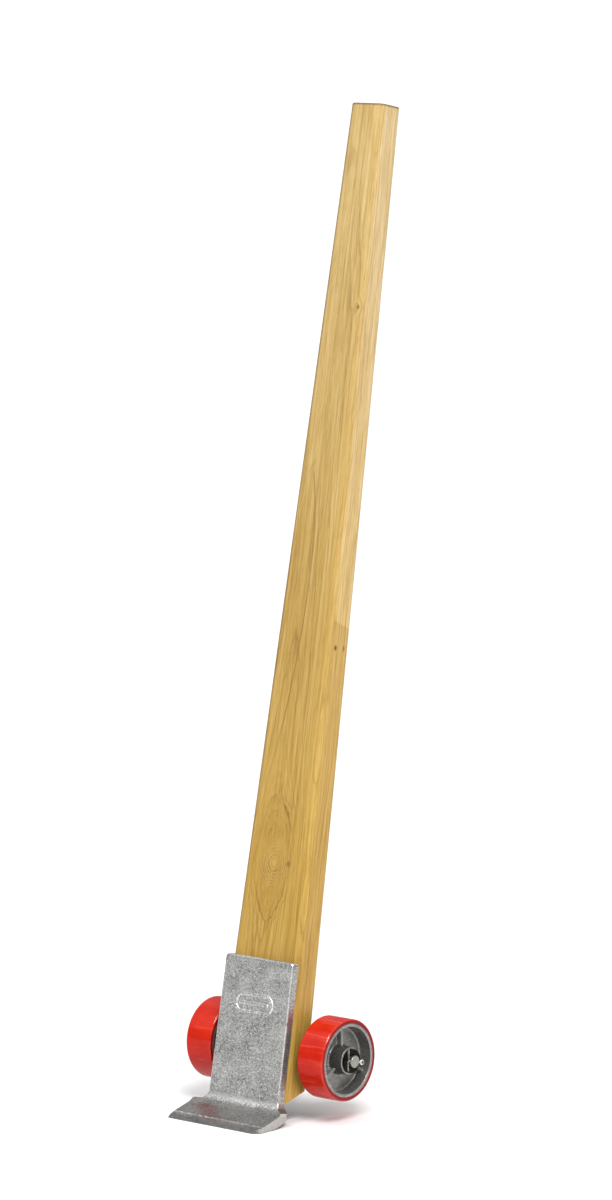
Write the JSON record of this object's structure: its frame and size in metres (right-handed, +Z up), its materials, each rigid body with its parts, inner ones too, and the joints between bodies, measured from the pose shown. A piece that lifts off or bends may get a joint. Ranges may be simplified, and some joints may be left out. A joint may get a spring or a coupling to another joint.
{
  "type": "wheeled pry lever",
  "caption": "Wheeled pry lever: a tapered wooden handle bolted to a cast steel nose with a thin lip, and polyurethane-tyred wheels on an axle across its back.",
  "frame": {"origin": "middle of the flat sole under the lip: half-way along the flat part front to back, on the handle's centre plane", "axes": "+Z up and along the handle, which leans back 10.3 degrees from it; -Y out past the lip's tip; +X to the right seen from the lip; the axle is parallel to X"},
  "size_m": [0.306, 0.4003, 1.5463],
  "materials": {
    "lacquered_hardwood": "planed hardwood under clear semi-gloss lacquer",
    "galvanised_casting": "grainy as-cast surface, galvanised silver grey",
    "dark_plated_steel": "satin dark plating",
    "bright_steel": "drawn bright steel",
    "zinc_plated_steel": "clear zinc plate",
    "red_polyurethane": "moulded, glossy",
    "grey_cast_iron": "dull as-cast grey, thin paint",
    "bearing_steel": "ground, greased",
    "black_oxide_steel": "black oxide"
  },
  "bodies": {
    "lever": {"handle": "lacquered_hardwood", "nose_casting": "galvanised_casting", "axle_clamp": "dark_plated_steel", "axle": "bright_steel", "clamp_bolts": "zinc_plated_steel", "upper_bolts": "zinc_plated_steel", "clamp_lock_washers": "zinc_plated_steel", "upper_lock_washers": "zinc_plated_steel", "upper_flat_washers": "zinc_plated_steel", "outer_washer_right": "black_oxide_steel", "inner_washer_right": "black_oxide_steel", "axle_spacer_right": "dark_plated_steel", "cotter_pin_right": "bright_steel", "outer_washer_left": "black_oxide_steel", "inner_washer_left": "black_oxide_steel", "axle_spacer_left": "dark_plated_steel", "cotter_pin_left": "bright_steel"},
    "wheel_right": {"tyre_right": "red_polyurethane", "wheel_core_right": "grey_cast_iron"},
    "wheel_left": {"tyre_left": "red_polyurethane", "wheel_core_left": "grey_cast_iron"},
    "bearing_right": {"bearing_cage_right": "bearing_steel", "bearing_rollers_right": "bearing_steel"},
    "bearing_left": {"bearing_cage_left": "bearing_steel", "bearing_rollers_left": "bearing_steel"}
  },
  "joints": [
    {"name": "wheel_right_spin", "type": "hinge", "parent": "lever", "child": "wheel_right", "pos_m": [0, 0.13573, 0.09758], "axis": [1, 0, 0], "continuous": true},
    {"name": "bearing_right_spin", "type": "hinge", "parent": "lever", "child": "bearing_right", "pos_m": [0, 0.13573, 0.09758], "axis": [1, 0, 0], "continuous": true},
    {"name": "wheel_left_spin", "type": "hinge", "parent": "lever", "child": "wheel_left", "pos_m": [0, 0.13573, 0.09758], "axis": [1, 0, 0], "continuous": true},
    {"name": "bearing_left_spin", "type": "hinge", "parent": "lever", "child": "bearing_left", "pos_m": [0, 0.13573, 0.09758], "axis": [1, 0, 0], "continuous": true}
  ],
  "couplings": [
    {"joint": "bearing_right_spin", "follows": "wheel_right_spin", "ratio": 0.6132},
    {"joint": "bearing_left_spin", "follows": "wheel_left_spin", "ratio": 0.6132}
  ]
}
